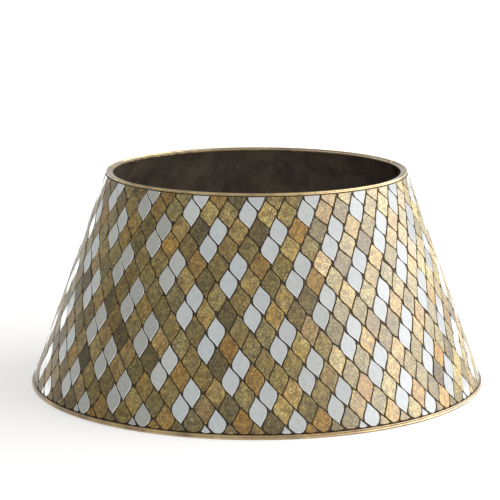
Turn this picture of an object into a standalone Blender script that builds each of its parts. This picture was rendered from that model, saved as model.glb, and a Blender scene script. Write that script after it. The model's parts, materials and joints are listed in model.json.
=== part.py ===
"""A christmas tree collar: a hinged sheet-iron cone in two parts, faced with leaf-shaped glass mosaic.

The cone stands on its wide rolled rim. The front half carries the two latch hooks. The back half swings
open on two butt hinges, whose barrels run along the slanted seam just outside the tiles. Units are metres.
Angles run round the cone from -Y, the front, towards +X. Depth is measured inwards from the tiles' face.
"""

import math

import bmesh
import bpy
from mathutils import Matrix, Vector

# Overall size
BASE_RADIUS = 0.305
TOP_RADIUS = 0.201
COLLAR_HEIGHT = 0.288

# Split into a wide front and a narrower back, each a whole number of mosaic columns
COLUMNS = {"front": 31, "back": 23}
COLUMN_ANGLE = 2 * math.pi / sum(COLUMNS.values())
LATCH_SEAM_ANGLE = math.radians(-94.763)
HINGE_SEAM_ANGLE = LATCH_SEAM_ANGLE + COLUMNS["front"] * COLUMN_ANGLE
LATCH_SEAM_GAP = 0.0012
HINGE_SEAM_GAP = 0.0034

# Clearances between pieces that touch, and the overrun of every cutter
FIT_GAP = 0.0003
OVERRUN = 0.002
CUT_TOLERANCE = 0.000004

# Edges sharper than this stay sharp where a round piece is shaded smooth
SMOOTH_ANGLE = math.radians(35)

# Rolled rims: a round bead with a thin ledge over or under the wall's edge
BASE_BEAD_HEIGHT = 0.0062
BASE_LEDGE_THICKNESS = 0.002
BASE_LIP_STANDOUT = 0.0005
TOP_BEAD_HEIGHT = 0.0038
TOP_LEDGE_THICKNESS = 0.0016
TOP_LIP_STANDOUT = 0.001
BEAD_ARC_STEPS = 4

# Shell layers
GROUT_DEPTH = 0.0011
MOSAIC_THICKNESS = 0.0042
WALL_THICKNESS = 0.0012

# Mosaic
TILE_WIDTH = 0.0216
TILE_HEIGHT = 0.0374
TILE_TIP_LEAN = 0.0023
TILE_GROUT = 0.0013

# Tile rows, as distances down the slant: the leaves nest deeper where the cone is wider
FIRST_ROW_SLANT = 0.00255
ROW_STEP = 0.02255
ROW_STEP_LOSS = 0.000163

# Columns of tiles drift round a little and keep closer than the cone spreads on the way down
MIDDLE_COLUMN = math.radians(-0.14)
ROW_DRIFT = math.radians(0.236)
ROW_NARROWING = math.radians(0.0256)

# Edge angles that bind the mosaic and the wall at the seams
EDGE_THICKNESS = 0.0015
EDGE_LEG_WIDTH = 0.02
EDGE_SETBACK = 0.0003

# Butt hinges
HINGE_HEIGHT = 0.046
HINGE_SLANTS = {"lower": 0.078, "upper": 0.226}
KNUCKLES = 3
KNUCKLE_RADIUS = 0.0028
PIN_RADIUS = 0.0013
PIN_CLEARANCE = 0.00035
PIN_HEAD_RADIUS = 0.0023
PIN_HEAD_HEIGHT = 0.0012
LEAF_THICKNESS = 0.0012
LEAF_WIDTH = 0.0175
BARREL_SEGMENTS = 12

# Rivets through the hinge leaves
RIVET_RADIUS = 0.0015
RIVET_HEAD_RADIUS = 0.003
RIVET_HEAD_HEIGHT = 0.0014
RIVET_FROM_SEAM = 0.0105
RIVET_FROM_LEAF_END = 0.009
RIVET_SEGMENTS = 8

# Latch: a flat hook on a pivot stud, which drops over a catch stud across the seam
LATCH_SLANTS = {"lower": 0.088, "upper": 0.218}
STUD_FROM_SEAM = 0.0125
STUD_RADIUS = 0.002
STUD_HEAD_RADIUS = 0.004
STUD_HEAD_HEIGHT = 0.0015
STUD_COLLAR_HEIGHT = 0.0026
STUD_SEGMENTS = 10
CATCH_PLAY = 0.0008
HOOK_THICKNESS = 0.002
HOOK_BOSS_RADIUS = 0.0055
HOOK_END_RADIUS = 0.0075
HOOK_HOLE_CLEARANCE = 0.0004
HOOK_SLOT_CLEARANCE = 0.0007
HOOK_SLOT_FLARE = 0.0022
HOOK_ARC_STEPS = 5

# The cone that the tiles' faces lie on
FACE_BASE_RADIUS = BASE_RADIUS - BASE_LIP_STANDOUT
FACE_TOP_RADIUS = TOP_RADIUS - TOP_LIP_STANDOUT
LEAN = math.atan2(FACE_BASE_RADIUS - FACE_TOP_RADIUS, COLLAR_HEIGHT)

# Depths of the layers, from the tiles' face inwards
WALL_OUTER = MOSAIC_THICKNESS + FIT_GAP
WALL_INNER = WALL_OUTER + WALL_THICKNESS
LEG_OUTER = WALL_INNER + FIT_GAP
LEG_INNER = LEG_OUTER + EDGE_THICKNESS
LEAF_OUTER = LEG_INNER + FIT_GAP
LEAF_INNER = LEAF_OUTER + LEAF_THICKNESS
HOOK_OUTER = LEG_INNER + STUD_COLLAR_HEIGHT + FIT_GAP
HOOK_MIDDLE = HOOK_OUTER + HOOK_THICKNESS / 2

# Heights between which the shell stands
SHELL_BOTTOM = BASE_BEAD_HEIGHT + FIT_GAP
SHELL_TOP = COLLAR_HEIGHT - TOP_BEAD_HEIGHT - FIT_GAP

# The hinge's axis lies outside the tiles by the barrel's own radius and a gap
AXIS_DEPTH = -(KNUCKLE_RADIUS + FIT_GAP)
LEAF_FROM_SEAM = HINGE_SEAM_GAP / 2 - FIT_GAP - LEAF_THICKNESS
FACET_DROP = math.tan(COLUMN_ANGLE / 2) * math.cos(LEAN)

# Each half: the seam it starts from, and the gap to keep at its start and its end
HALVES = {
    "front": (LATCH_SEAM_ANGLE, LATCH_SEAM_GAP / 2, HINGE_SEAM_GAP / 2),
    "back": (HINGE_SEAM_ANGLE, HINGE_SEAM_GAP / 2, LATCH_SEAM_GAP / 2),
}
# The back carries the front's pattern turned half round
PATTERN_TURN = {"front": 0, "back": math.pi}
# Which way round each half lies from each seam
HINGE_SIDES = {"front": -1, "back": 1}
LATCH_SIDES = {"front": 1, "back": -1}


def clear_scene():
    for thing in list(bpy.data.objects):
        bpy.data.objects.remove(thing, do_unlink=True)


def material(name, colour, metallic, roughness):
    made = bpy.data.materials.new(name)
    made.use_nodes = True
    shader = made.node_tree.nodes["Principled BSDF"]
    shader.inputs["Base Color"].default_value = (*colour, 1)
    shader.inputs["Metallic"].default_value = metallic
    shader.inputs["Roughness"].default_value = roughness
    made.diffuse_color = (*colour, 1)
    return made


def outward(angle):
    return Vector((math.sin(angle), -math.cos(angle), 0))


def along_facet(angle, side):
    """The level direction of the facet that starts at this seam, on the given side of it."""
    return (outward(angle + side * COLUMN_ANGLE) - outward(angle)).normalized()


def face_radius(height):
    return FACE_BASE_RADIUS - height * math.tan(LEAN)


def on_cone(angle, height, depth):
    radius = face_radius(height) - depth / math.cos(LEAN)
    return outward(angle) * radius + Vector((0, 0, height))


def on_ring(angle, radius, height):
    return outward(angle) * radius + Vector((0, 0, height))


def slant_at(height, depth):
    """How far up the seam a point at this height and depth lies."""
    return (height + depth * math.sin(LEAN)) / math.cos(LEAN)


def column_pitch(height):
    return 2 * face_radius(height) * math.sin(COLUMN_ANGLE / 2)


def link(name, mesh, look, place=None, smooth=None):
    thing = bpy.data.objects.new(name, mesh)
    bpy.context.scene.collection.objects.link(thing)
    if look:
        mesh.materials.append(look)
    if place:
        thing.matrix_world = place
    if smooth:
        mesh.shade_smooth()
        mesh.set_sharp_from_angle(angle=smooth)
    return thing


def mesh_of(name, shape):
    """The bmesh as a mesh with its faces pointing out."""
    bmesh.ops.recalc_face_normals(shape, faces=shape.faces)
    mesh = bpy.data.meshes.new(name)
    shape.to_mesh(mesh)
    shape.free()
    return mesh


def loft(rings):
    """Faces between successive rings of points, capped at both ends."""
    shape = bmesh.new()
    made = [[shape.verts.new(point) for point in ring] for ring in rings]
    count = len(made[0])
    for one, two in zip(made, made[1:]):
        for i in range(count):
            j = (i + 1) % count
            shape.faces.new((one[i], one[j], two[j], two[i]))
    shape.faces.new(made[0])
    shape.faces.new(made[-1])
    return shape


def arc(centre, radius, start, end, steps):
    """Points on an arc between two angles, both ends included."""
    angles = [start + (end - start) * i / steps for i in range(steps + 1)]
    return [(centre[0] + radius * math.cos(a), centre[1] + radius * math.sin(a)) for a in angles]


def turned(profile, segments):
    """A closed solid turned round its own Z from (radius, z) points. A radius of zero is a pole."""
    shape = bmesh.new()
    rings = []
    for radius, z in profile:
        if radius == 0:
            rings.append([shape.verts.new((0, 0, z))])
            continue
        turns = [2 * math.pi * i / segments for i in range(segments)]
        rings.append([shape.verts.new((radius * math.cos(a), radius * math.sin(a), z)) for a in turns])
    for one, two in zip(rings, rings[1:]):
        for i in range(segments):
            j = (i + 1) % segments
            corners = [one[i % len(one)], one[j % len(one)], two[j % len(two)], two[i % len(two)]]
            shape.faces.new(list(dict.fromkeys(corners)))
    return shape


def stations(half, inset):
    """Where a swept piece has its sections: the seam ends, set in along their facets, and each column."""
    start, start_gap, end_gap = HALVES[half]
    end = start + COLUMNS[half] * COLUMN_ANGLE
    found = [(start, along_facet(start, 1) * (start_gap + inset))]
    found += [(start + i * COLUMN_ANGLE, Vector()) for i in range(1, COLUMNS[half])]
    found.append((end, along_facet(end, -1) * (end_gap + inset)))
    return found


def swept(name, half, profile, place, inset, look):
    rings = [[place(angle, a, b) + shift for a, b in profile] for angle, shift in stations(half, inset)]
    return link(name, mesh_of(name, loft(rings)), look, smooth=SMOOTH_ANGLE)


def wall(half, look):
    """The sheet-iron cone that carries the mosaic."""
    profile = [
        (SHELL_BOTTOM, WALL_OUTER),
        (SHELL_BOTTOM, WALL_INNER),
        (SHELL_TOP, WALL_INNER),
        (SHELL_TOP, WALL_OUTER),
    ]
    swept(half + "_wall", half, profile, on_cone, EDGE_THICKNESS + FIT_GAP, look)


def base_rim(half, look):
    """The bead that the collar stands on, flat underneath, with a ledge in under the wall."""
    bead = BASE_BEAD_HEIGHT / 2
    centre = (BASE_RADIUS - bead, bead)
    inner = face_radius(BASE_BEAD_HEIGHT) - LEG_INNER / math.cos(LEAN)
    flat = bead * math.tan(math.pi / (2 * BEAD_ARC_STEPS))
    ledge = BASE_BEAD_HEIGHT - BASE_LEDGE_THICKNESS
    profile = [(inner, BASE_BEAD_HEIGHT), (inner, ledge), (centre[0] - bead, ledge), (centre[0] - bead, flat)]
    profile += [(centre[0] - flat, 0), (centre[0] + flat, 0)]
    profile += arc(centre, bead, -math.pi / 4, math.pi / 2, BEAD_ARC_STEPS - 1)
    swept(half + "_base_rim", half, profile, on_ring, 0, look)


def top_rim(half, look):
    """The smaller bead round the top opening, with a ledge in over the wall's edge."""
    bead = TOP_BEAD_HEIGHT / 2
    centre = (TOP_RADIUS - bead, COLLAR_HEIGHT - bead)
    inner = FACE_TOP_RADIUS - LEG_INNER / math.cos(LEAN)
    underside = COLLAR_HEIGHT - TOP_BEAD_HEIGHT
    profile = [(inner, underside + TOP_LEDGE_THICKNESS), (inner, underside)]
    profile += arc(centre, bead, -math.pi / 2, math.pi / 2, BEAD_ARC_STEPS - 1)
    profile.append((centre[0] - bead, underside + TOP_LEDGE_THICKNESS))
    swept(half + "_top_rim", half, profile, on_ring, 0, look)


def row_slant(row):
    """How far down the slant from the top edge a row of tiles has its middle."""
    return FIRST_ROW_SLANT + ROW_STEP * row - ROW_STEP_LOSS * row * row


def row_height(row):
    return COLLAR_HEIGHT - row_slant(row) * math.cos(LEAN)


def row_count():
    """How many rows have their middle above the base rim."""
    row = 0
    while row_height(row) > SHELL_BOTTOM:
        row += 1
    return row


def column_at(half, half_column, row):
    """Where a point of the tiles' lattice lies, in columns from the half's first seam."""
    pitch = COLUMN_ANGLE - ROW_NARROWING * (row - 1)
    angle = PATTERN_TURN[half] + MIDDLE_COLUMN + ROW_DRIFT * row + pitch * half_column / 2
    return (angle - HALVES[half][0]) / COLUMN_ANGLE


def tile_outline(row):
    """A tile's four corners, as (columns, height) from its middle, leaning like the leaf it stands for."""
    pitch = column_pitch(row_height(row))
    across = min(TILE_WIDTH, pitch - TILE_GROUT) / 2 / pitch
    lean = TILE_TIP_LEAN / pitch
    tips = []
    for neighbour in (row - 1, row + 1):
        room = abs(row_slant(neighbour) - row_slant(row)) - TILE_GROUT
        tips.append(min(TILE_HEIGHT / 2, room) * math.cos(LEAN))
    return [(-lean, tips[0]), (across, 0), (lean, -tips[1]), (-across, 0)]


def mosaic_relief(shape, half):
    """Tiles as low plateaus between shared grout corners, laid out flat in columns and heights.

    The row past the bottom is plain grout, which the base rim cuts short.
    """
    corners = {}

    def grout_corner(half_column, row):
        if (half_column, row) not in corners:
            place = (column_at(half, half_column, row), row_height(row), GROUT_DEPTH)
            corners[half_column, row] = shape.verts.new(place)
        return corners[half_column, row]

    last_row = row_count()
    reach = 2 * COLUMNS[half]
    for row in range(last_row + 1):
        height = row_height(row)
        for middle in range(-reach, reach + 1):
            column = column_at(half, middle, row)
            if (middle + row) % 2 or not -1 < column < COLUMNS[half] + 1:
                continue
            around = [(0, -1), (1, 0), (0, 1), (-1, 0)]
            grout = [grout_corner(middle + a, row + b) for a, b in around]
            if row == last_row:
                shape.faces.new(grout[::-1])
                continue
            top = [shape.verts.new((column + a, height + b, 0)) for a, b in tile_outline(row)]
            shape.faces.new(top)
            for i in range(4):
                j = (i + 1) % 4
                shape.faces.new((top[j], top[i], grout[i], grout[j]))


def trim(shape, point, direction):
    everything = shape.verts[:] + shape.edges[:] + shape.faces[:]
    bmesh.ops.bisect_plane(
        shape, geom=everything, plane_co=point, plane_no=direction, clear_outer=True, dist=CUT_TOLERANCE
    )


def trim_to_seams(shape, columns, start_edge, end_edge):
    """Cut both ends along a line that keeps its distance from the seam while the columns narrow upwards."""
    low, high = SHELL_BOTTOM, SHELL_TOP
    for first, second, sign in (
        (start_edge / column_pitch(low), start_edge / column_pitch(high), -1),
        (columns - end_edge / column_pitch(low), columns - end_edge / column_pitch(high), 1),
    ):
        normal = Vector((high - low, first - second, 0)) * sign
        trim(shape, (first, low, 0), normal)


def close_back(shape, columns):
    """Drop the trimmed edge to the bed's back and close it with one strip for each column."""
    edges = [edge for edge in shape.edges if edge.is_boundary]
    made = bmesh.ops.extrude_edge_only(shape, edges=edges)["geom"]
    verts = [item for item in made if isinstance(item, bmesh.types.BMVert)]
    for vert in verts:
        vert.co.z = MOSAIC_THICKNESS
    rim = [edge for edge in shape.edges if edge.is_boundary]
    bmesh.ops.contextual_create(shape, geom=rim)
    for column in range(1, columns):
        back = [face for face in shape.faces if min(vert.co.z for vert in face.verts) > GROUT_DEPTH]
        geometry = set(back)
        for face in back:
            geometry.update(face.edges)
            geometry.update(face.verts)
        bmesh.ops.bisect_plane(
            shape, geom=list(geometry), plane_co=(column, 0, 0), plane_no=(1, 0, 0), dist=CUT_TOLERANCE
        )


def wrap(shape, columns, start):
    """Lay the flat mosaic round the cone: its face on the true curve, its back on the wall's facets."""
    for vert in shape.verts:
        column, height, depth = vert.co
        if depth > GROUT_DEPTH:
            whole = min(max(math.floor(column), 0), columns - 1)
            share = column - whole
            angle = start + whole * COLUMN_ANGLE
            one = on_cone(angle, height, depth)
            two = on_cone(angle + COLUMN_ANGLE, height, depth)
            vert.co = one.lerp(two, share)
        else:
            vert.co = on_cone(start + column * COLUMN_ANGLE, height, depth)


def mosaic(half, look):
    """The grouted glass tiles of one half, as one bed."""
    start, start_gap, end_gap = HALVES[half]
    inset = EDGE_THICKNESS + 2 * FIT_GAP
    columns = COLUMNS[half]
    shape = bmesh.new()
    mosaic_relief(shape, half)
    trim(shape, (0, SHELL_BOTTOM, 0), (0, -1, 0))
    trim(shape, (0, SHELL_TOP, 0), (0, 1, 0))
    trim_to_seams(shape, columns, start_gap + inset, end_gap + inset)
    close_back(shape, columns)
    wrap(shape, columns, start)
    name = half + "_mosaic"
    link(name, mesh_of(name, shape), look)


def seam_matrix(angle):
    """A frame on a seam: X round the cone, Y inwards through the wall, Z up the slant."""
    x = Vector((math.cos(angle), math.sin(angle), 0))
    z = outward(angle) * -math.sin(LEAN) + Vector((0, 0, math.cos(LEAN)))
    frame = Matrix((x, z.cross(x), z)).transposed().to_4x4()
    frame.translation = on_cone(angle, 0, 0)
    return frame


def facet_matrix(seam, side, from_seam, slant):
    """A frame on the facet beside a seam: X up the facet, Z inwards, its origin at the tiles' face."""
    base = seam_matrix(seam)
    level = along_facet(seam, side)
    up_seam = base.to_3x3().col[2]
    inwards = up_seam.cross(level).normalized()
    if inwards.dot(outward(seam)) > 0:
        inwards.negate()
    up = level.cross(inwards).normalized()
    if up.z < 0:
        up.negate()
    frame = Matrix((up, inwards.cross(up), inwards)).transposed().to_4x4()
    frame.translation = base.translation + up_seam * slant + level * from_seam
    return frame


def cutter(name, shape):
    thing = link(name, mesh_of(name, shape), None)
    thing.hide_render = True
    thing.display_type = "WIRE"
    return thing


def boolean(thing, other, operation):
    made = thing.modifiers.new(operation.lower(), "BOOLEAN")
    made.operation = operation
    made.solver = "EXACT"
    made.object = other


def leg_depth(from_seam, depth):
    """Depth below the tangent at the seam of a layer that follows the facet away from it."""
    return depth + from_seam * FACET_DROP


def edge_angle(name, seam, side, gap, look):
    """An iron angle along a seam: one leg covers the mosaic's edge, the other lies flat inside the wall."""
    near, far = gap, gap + EDGE_THICKNESS
    profile = [
        (near, EDGE_SETBACK),
        (far, EDGE_SETBACK),
        (far, leg_depth(far, LEG_OUTER)),
        (EDGE_LEG_WIDTH, leg_depth(EDGE_LEG_WIDTH, LEG_OUTER)),
        (EDGE_LEG_WIDTH, leg_depth(EDGE_LEG_WIDTH, LEG_INNER)),
        (near, leg_depth(near, LEG_INNER)),
    ]
    rings = [
        [(side * across, depth, slant_at(height, depth)) for across, depth in profile]
        for height in (SHELL_BOTTOM, SHELL_TOP)
    ]
    return link(name, mesh_of(name, loft(rings)), look, seam_matrix(seam))


def knuckle_spans(half):
    """Where the leaf's own knuckles lie along the barrel: the front has the outer ones."""
    pitch = HINGE_HEIGHT / KNUCKLES
    first = 0 if half == "front" else 1
    spans = []
    for index in range(first, KNUCKLES, 2):
        low = index * pitch + (FIT_GAP / 2 if index else 0)
        high = (index + 1) * pitch - (FIT_GAP / 2 if index < KNUCKLES - 1 else 0)
        spans.append((low - HINGE_HEIGHT / 2, high - HINGE_HEIGHT / 2))
    return spans


def prism(outline, low, high):
    return loft([[(a, b, z) for a, b in outline] for z in (low, high)])


def knuckles(half, side):
    """Round knuckles with the web that joins each to its leaf."""
    near, far = LEAF_FROM_SEAM, LEAF_FROM_SEAM + LEAF_THICKNESS
    start = math.asin(near / KNUCKLE_RADIUS)
    end = math.asin(far / KNUCKLE_RADIUS)
    web = FIT_GAP + LEAF_THICKNESS
    outline = [(near, web), (far, web)]
    turn = 2 * math.pi - (end - start)
    for i in range(BARREL_SEGMENTS):
        angle = end + turn * i / (BARREL_SEGMENTS - 1)
        outline.append((KNUCKLE_RADIUS * math.sin(angle), AXIS_DEPTH + KNUCKLE_RADIUS * math.cos(angle)))
    outline = [(side * a, b) for a, b in outline]
    joined = bmesh.new()
    for low, high in knuckle_spans(half):
        piece = prism(outline, low, high)
        scratch = mesh_of("knuckle", piece)
        joined.from_mesh(scratch)
        bpy.data.meshes.remove(scratch)
    return joined


def hinge_leaf(name, half, slant, look):
    """A leaf that comes in through the seam, turns along the edge angle and is riveted to it there."""
    side = HINGE_SIDES[half]
    near, far = LEAF_FROM_SEAM, LEAF_FROM_SEAM + LEAF_THICKNESS
    profile = [
        (near, FIT_GAP),
        (far, FIT_GAP),
        (far, leg_depth(far, LEAF_OUTER)),
        (LEAF_WIDTH, leg_depth(LEAF_WIDTH, LEAF_OUTER)),
        (LEAF_WIDTH, leg_depth(LEAF_WIDTH, LEAF_INNER)),
        (near, leg_depth(near, LEAF_INNER)),
    ]
    place = seam_matrix(HINGE_SEAM_ANGLE) @ Matrix.Translation((0, 0, slant))
    plate = prism([(side * a, b) for a, b in profile], -HINGE_HEIGHT / 2, HINGE_HEIGHT / 2)
    leaf = link(name, mesh_of(name, plate), look, place)
    rolled = cutter(name + "_knuckles", knuckles(half, side))
    rolled.matrix_world = place
    boolean(leaf, rolled, "UNION")
    bore_radius = PIN_RADIUS + PIN_CLEARANCE
    reach = HINGE_HEIGHT / 2 + OVERRUN
    drill = [(0, -reach), (bore_radius, -reach), (bore_radius, reach), (0, reach)]
    bore = cutter(name + "_bore", turned(drill, BARREL_SEGMENTS))
    bore.matrix_world = place @ Matrix.Translation((0, AXIS_DEPTH, 0))
    boolean(leaf, bore, "DIFFERENCE")
    return leaf


def hinge_pin(name, slant, look):
    half = HINGE_HEIGHT / 2 + FIT_GAP
    head = half + PIN_HEAD_HEIGHT
    profile = [
        (0, -head),
        (PIN_HEAD_RADIUS, -head),
        (PIN_HEAD_RADIUS, -half),
        (PIN_RADIUS, -half),
        (PIN_RADIUS, half),
        (PIN_HEAD_RADIUS, half),
        (PIN_HEAD_RADIUS, head),
        (0, head),
    ]
    place = seam_matrix(HINGE_SEAM_ANGLE) @ Matrix.Translation((0, AXIS_DEPTH, slant))
    link(name, mesh_of(name, turned(profile, BARREL_SEGMENTS)), look, place, SMOOTH_ANGLE)


def rivet(name, place, look):
    """A domed rivet, driven from inside through the leaf into the edge angle."""
    crown = LEAF_INNER + FIT_GAP
    profile = [
        (0, LEG_OUTER),
        (RIVET_RADIUS, LEG_OUTER),
        (RIVET_RADIUS, crown),
        (RIVET_HEAD_RADIUS, crown),
        (RIVET_HEAD_RADIUS * math.cos(math.pi / 4), crown + RIVET_HEAD_HEIGHT * math.sin(math.pi / 4)),
        (0, crown + RIVET_HEAD_HEIGHT),
    ]
    link(name, mesh_of(name, turned(profile, RIVET_SEGMENTS)), look, place, SMOOTH_ANGLE)


def hole(place, radius, segments):
    """A cutter through the edge angle and whatever lies on it."""
    low, high = LEG_OUTER - OVERRUN, LEAF_INNER + OVERRUN
    shape = turned([(0, low), (radius, low), (radius, high), (0, high)], segments)
    shape.transform(place)
    return shape


def hole_cutter(name, places, radius, segments):
    joined = bmesh.new()
    for place in places:
        scratch = mesh_of("hole", hole(place, radius, segments))
        joined.from_mesh(scratch)
        bpy.data.meshes.remove(scratch)
    return cutter(name, joined)


def hinges(half, angle_piece, irons):
    """The half's two leaves with their rivets, and the rivets' holes in leaf and edge angle."""
    side = HINGE_SIDES[half]
    places = {}
    for level, slant in HINGE_SLANTS.items():
        for end, sign in (("top", 1), ("bottom", -1)):
            along = slant + sign * (HINGE_HEIGHT / 2 - RIVET_FROM_LEAF_END)
            places[level, end] = facet_matrix(HINGE_SEAM_ANGLE, side, RIVET_FROM_SEAM, along)
    drilled = hole_cutter(half + "_rivet_holes", places.values(), RIVET_RADIUS + FIT_GAP, RIVET_SEGMENTS)
    boolean(angle_piece, drilled, "DIFFERENCE")
    for level, slant in HINGE_SLANTS.items():
        leaf = hinge_leaf(f"{half}_hinge_leaf_{level}", half, slant, irons["brass"])
        boolean(leaf, drilled, "DIFFERENCE")
    for (level, end), place in places.items():
        rivet(f"{half}_hinge_rivet_{level}_{end}", place, irons["rivet"])


def stud_profile(collar_top, head_bottom):
    """A shouldered stud: shank in the edge angle, collar on it, neck for the hook, and a head."""
    return [
        (0, LEG_OUTER),
        (STUD_RADIUS, LEG_OUTER),
        (STUD_RADIUS, LEG_INNER + FIT_GAP),
        (STUD_HEAD_RADIUS, LEG_INNER + FIT_GAP),
        (STUD_HEAD_RADIUS, collar_top),
        (STUD_RADIUS, collar_top),
        (STUD_RADIUS, head_bottom),
        (STUD_HEAD_RADIUS, head_bottom),
        (STUD_HEAD_RADIUS, head_bottom + STUD_HEAD_HEIGHT),
        (0, head_bottom + STUD_HEAD_HEIGHT),
    ]


def reach_of_hook(pivot, catch):
    """Where the catch stud's axis meets the hook's middle plane: its depth there, and how far the pivot is."""
    normal = pivot.to_3x3().col[2]
    centre = pivot @ Vector((0, 0, HOOK_MIDDLE))
    direction = catch.to_3x3().col[2]
    depth = (centre - catch.translation).dot(normal) / direction.dot(normal)
    return depth, (catch.translation + direction * depth - centre).length


def hook(name, place, reach, open_side, look):
    """A flat hook that hangs from its pivot, with a flared slot on the side that leads as it drops."""
    tangent = math.asin((HOOK_END_RADIUS - HOOK_BOSS_RADIUS) / reach)
    outline = arc((0, 0), HOOK_BOSS_RADIUS, -math.pi / 2 + tangent, math.pi / 2 - tangent, HOOK_ARC_STEPS)
    end = arc((-reach, 0), HOOK_END_RADIUS, math.pi / 2 - tangent, 3 * math.pi / 2 + tangent, HOOK_ARC_STEPS)
    low, high = HOOK_OUTER, HOOK_OUTER + HOOK_THICKNESS
    piece = link(name, mesh_of(name, prism(outline + end, low, high)), look, place)
    width = STUD_RADIUS + HOOK_SLOT_CLEARANCE
    mouth = HOOK_END_RADIUS + OVERRUN
    slot = arc((-reach, 0), width, math.pi, 2 * math.pi, HOOK_ARC_STEPS)
    slot += [(-reach + width + HOOK_SLOT_FLARE, mouth), (-reach - width, mouth)]
    slot = [(a, open_side * b) for a, b in slot]
    slot_piece = cutter(name + "_slot", prism(slot, low - OVERRUN, high + OVERRUN))
    slot_piece.matrix_world = place
    boolean(piece, slot_piece, "DIFFERENCE")
    radius = STUD_RADIUS + HOOK_HOLE_CLEARANCE
    pivot_hole = turned(
        [(0, low - OVERRUN), (radius, low - OVERRUN), (radius, high + OVERRUN), (0, high + OVERRUN)],
        STUD_SEGMENTS,
    )
    hole_piece = cutter(name + "_pivot_hole", pivot_hole)
    hole_piece.matrix_world = place
    boolean(piece, hole_piece, "DIFFERENCE")


def latches(angle_pieces, irons):
    """Two hooks on the front half, their pivot studs, and the catch studs on the back half."""
    places = {
        half: {
            level: facet_matrix(LATCH_SEAM_ANGLE, LATCH_SIDES[half], STUD_FROM_SEAM, slant)
            for level, slant in LATCH_SLANTS.items()
        }
        for half in HALVES
    }
    for half, spots in places.items():
        drilled = hole_cutter(half + "_stud_holes", spots.values(), STUD_RADIUS + FIT_GAP, RIVET_SEGMENTS)
        boolean(angle_pieces[half], drilled, "DIFFERENCE")
    for level in LATCH_SLANTS:
        pivot, catch = places["front"][level], places["back"][level]
        hook_inner = HOOK_OUTER + HOOK_THICKNESS
        profile = stud_profile(HOOK_OUTER - FIT_GAP, hook_inner + FIT_GAP)
        name = f"hook_pivot_stud_{level}"
        link(name, mesh_of(name, turned(profile, STUD_SEGMENTS)), irons["rivet"], pivot, SMOOTH_ANGLE)
        depth, reach = reach_of_hook(pivot, catch)
        play = HOOK_THICKNESS / 2 + CATCH_PLAY
        name = f"catch_stud_{level}"
        shape = turned(stud_profile(depth - play, depth + play), STUD_SEGMENTS)
        link(name, mesh_of(name, shape), irons["rivet"], catch, SMOOTH_ANGLE)
        away = pivot.to_3x3().col[1].dot(along_facet(LATCH_SEAM_ANGLE, LATCH_SIDES["front"]))
        hook(f"latch_hook_{level}", pivot, reach, math.copysign(1, away), irons["brass"])


def build():
    clear_scene()
    gold = material("antique gold rim", (0.42, 0.27, 0.13), 1, 0.4)
    glass = material("glass mosaic", (0.36, 0.29, 0.18), 0, 0.2)
    iron = material("bronzed iron", (0.2, 0.14, 0.08), 0.9, 0.5)
    irons = {
        "brass": material("aged brass", (0.34, 0.24, 0.12), 1, 0.42),
        "rivet": material("rivet steel", (0.3, 0.26, 0.2), 1, 0.35),
    }
    latch_angles = {}
    for half in HALVES:
        wall(half, iron)
        base_rim(half, gold)
        top_rim(half, gold)
        mosaic(half, glass)
        hinge_angle = edge_angle(
            half + "_hinge_edge_angle", HINGE_SEAM_ANGLE, HINGE_SIDES[half], HINGE_SEAM_GAP / 2, iron
        )
        latch_angles[half] = edge_angle(
            half + "_latch_edge_angle", LATCH_SEAM_ANGLE, LATCH_SIDES[half], LATCH_SEAM_GAP / 2, iron
        )
        hinges(half, hinge_angle, irons)
    for level, slant in HINGE_SLANTS.items():
        hinge_pin(f"hinge_pin_{level}", slant, irons["rivet"])
    latches(latch_angles, irons)


build()
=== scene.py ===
"""Looks of the christmas tree collar: leaf-shaped glass tiles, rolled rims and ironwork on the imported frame.

Units are metres. Angles run round the cone from -Y, the front, towards +X. Depth is measured inwards from
the tiles' face, as in the CAD.
"""

import itertools
import json
import math
import random
from functools import lru_cache

import bmesh
import bpy
import numpy as np
from mathutils import Matrix, Vector
from mathutils.geometry import intersect_line_line_2d

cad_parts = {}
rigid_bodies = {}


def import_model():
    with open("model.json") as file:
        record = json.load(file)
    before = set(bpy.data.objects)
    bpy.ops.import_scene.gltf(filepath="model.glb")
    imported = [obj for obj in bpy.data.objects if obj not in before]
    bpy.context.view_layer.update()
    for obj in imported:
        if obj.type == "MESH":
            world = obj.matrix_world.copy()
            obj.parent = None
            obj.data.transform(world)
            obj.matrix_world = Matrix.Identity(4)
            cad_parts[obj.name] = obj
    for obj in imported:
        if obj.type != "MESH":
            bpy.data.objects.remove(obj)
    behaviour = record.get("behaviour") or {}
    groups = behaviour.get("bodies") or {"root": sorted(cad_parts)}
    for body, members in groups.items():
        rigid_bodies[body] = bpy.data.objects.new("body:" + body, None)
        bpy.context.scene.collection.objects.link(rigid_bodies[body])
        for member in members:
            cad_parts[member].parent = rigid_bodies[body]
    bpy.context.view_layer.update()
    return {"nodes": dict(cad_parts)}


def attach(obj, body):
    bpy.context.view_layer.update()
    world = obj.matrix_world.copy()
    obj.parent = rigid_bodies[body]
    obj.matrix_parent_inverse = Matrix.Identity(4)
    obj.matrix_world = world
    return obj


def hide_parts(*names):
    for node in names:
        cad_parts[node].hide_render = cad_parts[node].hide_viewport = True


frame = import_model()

# The cone and its rims, the same values as in the CAD
BASE_RADIUS = 0.305
TOP_RADIUS = 0.201
COLLAR_HEIGHT = 0.288
FACE_BASE_RADIUS = BASE_RADIUS - 0.0005
FACE_TOP_RADIUS = TOP_RADIUS - 0.001
LEAN = math.atan2(FACE_BASE_RADIUS - FACE_TOP_RADIUS, COLLAR_HEIGHT)
COLUMNS = {"front": 31, "back": 23}
COLUMN_ANGLE = 2 * math.pi / sum(COLUMNS.values())
LATCH_SEAM_ANGLE = math.radians(-94.763)
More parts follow.
